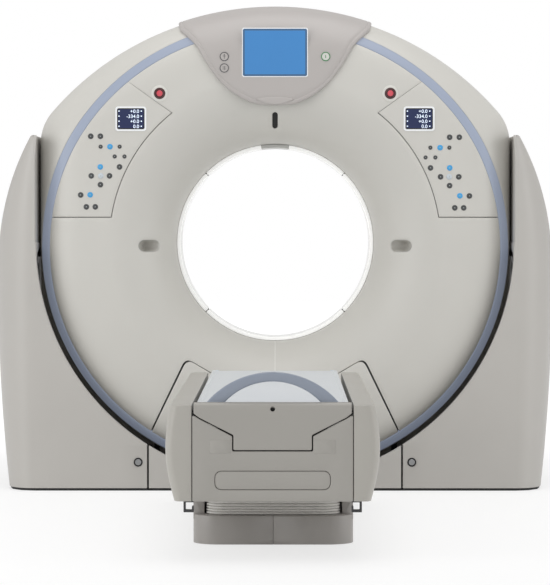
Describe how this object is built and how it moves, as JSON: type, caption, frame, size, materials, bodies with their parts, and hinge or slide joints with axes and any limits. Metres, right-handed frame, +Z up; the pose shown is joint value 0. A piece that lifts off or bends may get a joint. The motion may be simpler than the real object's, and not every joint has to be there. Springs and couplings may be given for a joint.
{
  "type": "ct scanner",
  "caption": "Ring-shaped CT scanner gantry that tilts between two stands round a spinning rotor, with a lifting patient couch whose tabletop slides into the bore.",
  "frame": {"origin": "on the floor under the middle of the whole scanner's bounding box", "axes": "+Y along the bore from the couch towards the gantry, +Z up, +X to the right when one looks along +Y from the couch's near end"},
  "size_m": [2.2678, 3.39, 1.964],
  "materials": {
    "gantry_cover": "moulded, satin warm light grey",
    "stand_cover": "moulded, satin grey a little darker than the gantry",
    "trim": "moulded, blue-grey",
    "liner": "smooth white",
    "latch": "turned, with a dark rim",
    "screen": "lit display under a clear front with a white frame",
    "readout": "lit navy display with a white frame",
    "mark": "printed round marks",
    "keys": "membrane key domes",
    "collar": "dark collar",
    "button_red": "red push cap",
    "laser_glass": "dark clear window",
    "frame_steel": "painted steel",
    "bearing_steel": "ground steel",
    "rotor_metal": "machined casting",
    "rotor_housing": "painted housings",
    "detector_metal": "folded and machined aluminium",
    "counterweight": "cast block",
    "insulator": "moulded insulator",
    "couch_cover": "moulded, satin grey",
    "couch_base": "moulded, satin mid grey",
    "tabletop": "smooth pale blue-white skin",
    "bellows": "folded coated cloth",
    "column_steel": "painted steel tube",
    "rail_steel": "ground steel rail",
    "runner": "runner block"
  },
  "bodies": {
    "stand": {"floor_frame": "frame_steel", "left_pedestal": "frame_steel", "right_pedestal": "frame_steel", "tilt_bearings": "bearing_steel", "left_stand_front_cover": "stand_cover", "right_stand_front_cover": "stand_cover", "left_stand_rear_cover": "stand_cover", "right_stand_rear_cover": "stand_cover", "front_skirt": "stand_cover", "rear_skirt": "stand_cover", "cover_latches": "latch", "couch_base_plate": "frame_steel", "left_base_cover": "couch_base", "right_base_cover": "couch_base", "column_outer": "column_steel", "bellows": "bellows"},
    "gantry": {"front_cover": "gantry_cover", "rear_cover": "gantry_cover", "rim_cover": "gantry_cover", "trim_ring": "trim", "bore_liner": "liner", "console_hood": "gantry_cover", "console_screen": "screen", "console_marks": "mark", "left_control_panel": "gantry_cover", "right_control_panel": "gantry_cover", "panel_keys": "keys", "panel_readouts": "readout", "estop_collars": "collar", "laser_window": "laser_glass", "laser_scoops": "gantry_cover", "docking_panel": "gantry_cover", "tilt_frame": "frame_steel", "trunnions": "bearing_steel", "main_bearing": "bearing_steel", "brush_block": "insulator"},
    "rotor": {"rotor_drum": "rotor_metal", "slip_ring": "insulator", "x_ray_tube": "rotor_housing", "collimator": "rotor_housing", "detector": "detector_metal", "high_voltage_generator": "rotor_housing", "heat_exchanger": "detector_metal", "counterweight": "counterweight"},
    "column_middle": {"column_middle": "column_steel"},
    "couch": {"couch_frame": "frame_steel", "column_inner": "column_steel", "left_side_cover": "couch_cover", "right_side_cover": "couch_cover", "end_cover_lower": "couch_cover", "end_access_plate": "couch_cover", "lower_pan": "couch_cover", "hooks": "frame_steel", "rails": "rail_steel"},
    "tabletop": {"tabletop": "tabletop", "end_cover_upper": "couch_cover", "arch_handle": "trim", "runners": "runner"},
    "left_estop": {"left_estop_button": "button_red"},
    "right_estop": {"right_estop_button": "button_red"}
  },
  "joints": [
    {"name": "gantry_tilt", "type": "hinge", "parent": "stand", "child": "gantry", "pos_m": [0, 1.215, 1], "axis": [1, 0, 0], "range_deg": [-30, 30]},
    {"name": "rotor_spin", "type": "hinge", "parent": "gantry", "child": "rotor", "pos_m": [0, 1.215, 1], "axis": [0, 1, 0], "continuous": true},
    {"name": "couch_lift", "type": "slide", "parent": "stand", "child": "couch", "axis": [0, 0, 1], "range_m": [0, 0.487], "deforming": ["bellows"]},
    {"name": "column_slide", "type": "slide", "parent": "stand", "child": "column_middle", "axis": [0, 0, 1], "range_m": [0, 0.2435]},
    {"name": "tabletop_slide", "type": "slide", "parent": "couch", "child": "tabletop", "axis": [0, 1, 0], "range_m": [0, 1.1688]},
    {"name": "left_estop_push", "type": "slide", "parent": "gantry", "child": "left_estop", "axis": [0, 1, 0], "range_m": [0, 0.004], "stiffness_N_per_m": 800, "springref_m": -0.002},
    {"name": "right_estop_push", "type": "slide", "parent": "gantry", "child": "right_estop", "axis": [0, 1, 0], "range_m": [0, 0.004], "stiffness_N_per_m": 800, "springref_m": -0.002}
  ],
  "couplings": [
    {"joint": "column_slide", "follows": "couch_lift", "ratio": 0.5},
    {"joint": "tabletop_slide", "follows": "couch_lift", "ratio": 2.4}
  ]
}
